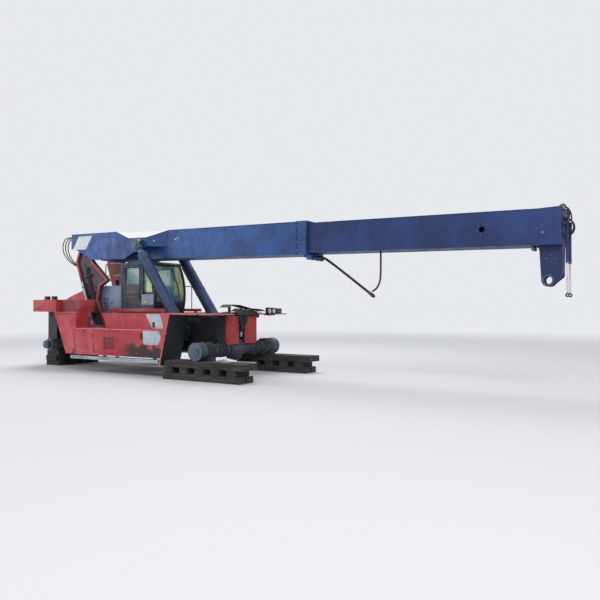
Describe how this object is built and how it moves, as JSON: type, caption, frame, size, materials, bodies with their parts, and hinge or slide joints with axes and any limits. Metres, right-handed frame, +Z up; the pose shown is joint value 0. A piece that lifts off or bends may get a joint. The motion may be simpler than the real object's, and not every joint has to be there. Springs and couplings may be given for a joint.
{
  "type": "reach stacker without wheels or spreader, on timber stacks",
  "caption": "Reach stacker with a telescopic luffing boom, cab and counterweight, its wheels and spreader off, standing on timber stacks.",
  "frame": {"origin": "on the ground under the middle of the machine's overall length and width", "axes": "+X towards the boom's head, +Y to the machine's left, +Z up"},
  "size_m": [15.3626, 3.5, 4.0305],
  "materials": {
    "red_paint": "faded, chalky red paint with soot and rust",
    "mast_paint": "dark maroon paint, dusty",
    "boom_paint": "dull near-black slate paint",
    "cab_paint": "dark brown-red paint",
    "grey_paint": "blue-grey paint",
    "axle_metal": "greasy cast iron",
    "rod_chrome": "polished rod",
    "pale_steel": "weathered pale steel",
    "cab_glass": "dusty pale green glass",
    "black_plastic": "dull black",
    "seat_fabric": "dark seat fabric",
    "hose_rubber": "black hose",
    "rope_fibre": "dark rope",
    "timber": "dark, oil-stained sleepers"
  },
  "bodies": {
    "root": {"chassis": "red_paint", "counterweight": "red_paint", "engine": "axle_metal", "engine_hood": "red_paint", "mast_right": "mast_paint", "mast_left": "mast_paint", "mast_pipe": "pale_steel", "side_box_right": "red_paint", "side_box_left": "red_paint", "front_fenders": "red_paint", "step_rails": "pale_steel", "front_cover": "black_plastic", "drive_axle": "axle_metal", "steer_axle": "axle_metal", "cab_rails": "red_paint", "cab_shell": "cab_paint", "cab_roof": "cab_paint", "cab_glass": "cab_glass", "seat": "seat_fabric", "steering_column": "black_plastic", "rear_box": "grey_paint", "timbers_front": "timber", "timbers_rear": "timber"},
    "outer_boom": {"boom_outer": "boom_paint", "tail_hoses": "hose_rubber", "hanging_hose": "hose_rubber", "hanging_rope": "rope_fibre"},
    "inner_boom": {"boom_inner": "boom_paint", "damper_lugs": "boom_paint", "head_hoses": "hose_rubber"},
    "locker_door_right": {"locker_door_right": "red_paint"},
    "cab_door_right": {"cab_door_right": "cab_paint", "door_glass_right": "cab_glass"},
    "front_hub_right": {"hub_front_right": "axle_metal"},
    "knuckle_right": {"knuckle_right": "axle_metal"},
    "rear_hub_right": {"hub_rear_right": "axle_metal"},
    "lift_barrel_right": {"lift_barrel_right": "boom_paint"},
    "lift_rod_right": {"lift_rod_right": "rod_chrome"},
    "damper_barrel_right": {"damper_barrel_right": "boom_paint"},
    "damper_rod_right": {"damper_rod_right": "rod_chrome"},
    "locker_door_left": {"locker_door_left": "red_paint"},
    "cab_door_left": {"cab_door_left": "cab_paint", "door_glass_left": "cab_glass"},
    "front_hub_left": {"hub_front_left": "axle_metal"},
    "knuckle_left": {"knuckle_left": "axle_metal"},
    "rear_hub_left": {"hub_rear_left": "axle_metal"},
    "lift_barrel_left": {"lift_barrel_left": "boom_paint"},
    "lift_rod_left": {"lift_rod_left": "rod_chrome"},
    "damper_barrel_left": {"damper_barrel_left": "boom_paint"},
    "damper_rod_left": {"damper_rod_left": "rod_chrome"}
  },
  "joints": [
    {"name": "boom_luff", "type": "hinge", "parent": "root", "child": "outer_boom", "pos_m": [-5.93126, 0, 3.62], "axis": [0, -1, 0], "range_deg": [0, 58], "deforming": ["tail_hoses"]},
    {"name": "telescope", "type": "slide", "parent": "outer_boom", "child": "inner_boom", "axis": [0.9998, 0, -0.0192], "range_m": [-4.9, 0.6], "deforming": ["hanging_hose", "hanging_rope"]},
    {"name": "lift_swing_right", "type": "hinge", "parent": "root", "child": "lift_barrel_right", "pos_m": [-1.78126, -0.81, 1.14], "axis": [0, 1, 0], "range_deg": [0, 6]},
    {"name": "lift_stroke_right", "type": "slide", "parent": "lift_barrel_right", "child": "lift_rod_right", "axis": [-0.5866, 0, 0.8099], "range_m": [0, 2.306]},
    {"name": "damper_swing_right", "type": "hinge", "parent": "inner_boom", "child": "damper_barrel_right", "pos_m": [7.56278, -0.17, 3.44092], "axis": [0, -1, 0], "range_deg": [0, 50]},
    {"name": "damper_stroke_right", "type": "slide", "parent": "damper_barrel_right", "child": "damper_rod_right", "axis": [0, 0, 1], "range_m": [0, 0.5]},
    {"name": "front_hub_spin_right", "type": "hinge", "parent": "root", "child": "front_hub_right", "pos_m": [-0.63126, -1.57, 0.7], "axis": [0, 1, 0], "continuous": true},
    {"name": "steer_right", "type": "hinge", "parent": "root", "child": "knuckle_right", "pos_m": [-6.63126, -1.15, 0.7], "axis": [0, 0, 1], "range_deg": [-40, 40]},
    {"name": "rear_hub_spin_right", "type": "hinge", "parent": "knuckle_right", "child": "rear_hub_right", "pos_m": [-6.63126, -1.38, 0.7], "axis": [0, 1, 0], "continuous": true},
    {"name": "cab_door_right", "type": "hinge", "parent": "root", "child": "cab_door_right", "pos_m": [-4.24726, -0.649, 2.4], "axis": [0, 0, -1], "range_deg": [0, 100]},
    {"name": "locker_door_right", "type": "hinge", "parent": "root", "child": "locker_door_right", "pos_m": [-4.24726, -1.739, 0.86], "axis": [0, 0, -1], "range_deg": [0, 110]},
    {"name": "lift_swing_left", "type": "hinge", "parent": "root", "child": "lift_barrel_left", "pos_m": [-1.78126, 0.81, 1.14], "axis": [0, 1, 0], "range_deg": [0, 6]},
    {"name": "lift_stroke_left", "type": "slide", "parent": "lift_barrel_left", "child": "lift_rod_left", "axis": [-0.5866, 0, 0.8099], "range_m": [0, 2.306]},
    {"name": "damper_swing_left", "type": "hinge", "parent": "inner_boom", "child": "damper_barrel_left", "pos_m": [7.56278, 0.17, 3.44092], "axis": [0, -1, 0], "range_deg": [0, 50]},
    {"name": "damper_stroke_left", "type": "slide", "parent": "damper_barrel_left", "child": "damper_rod_left", "axis": [0, 0, 1], "range_m": [0, 0.5]},
    {"name": "front_hub_spin_left", "type": "hinge", "parent": "root", "child": "front_hub_left", "pos_m": [-0.63126, 1.57, 0.7], "axis": [0, 1, 0], "continuous": true},
    {"name": "steer_left", "type": "hinge", "parent": "root", "child": "knuckle_left", "pos_m": [-6.63126, 1.15, 0.7], "axis": [0, 0, 1], "range_deg": [-40, 40]},
    {"name": "rear_hub_spin_left", "type": "hinge", "parent": "knuckle_left", "child": "rear_hub_left", "pos_m": [-6.63126, 1.38, 0.7], "axis": [0, 1, 0], "continuous": true},
    {"name": "cab_door_left", "type": "hinge", "parent": "root", "child": "cab_door_left", "pos_m": [-4.24726, 0.649, 2.4], "axis": [0, 0, 1], "range_deg": [0, 100]},
    {"name": "locker_door_left", "type": "hinge", "parent": "root", "child": "locker_door_left", "pos_m": [-4.24726, 1.739, 0.86], "axis": [0, 0, 1], "range_deg": [0, 110]}
  ],
  "couplings": [
    {"joint": "lift_swing_right", "follows": "boom_luff", "ratio": 0.060925},
    {"joint": "lift_stroke_right", "follows": "boom_luff", "m_per_rad": 2.2768},
    {"joint": "lift_swing_left", "follows": "boom_luff", "ratio": 0.060925},
    {"joint": "lift_stroke_left", "follows": "boom_luff", "m_per_rad": 2.2768},
    {"joint": "steer_left", "follows": "steer_right", "ratio": 1}
  ]
}
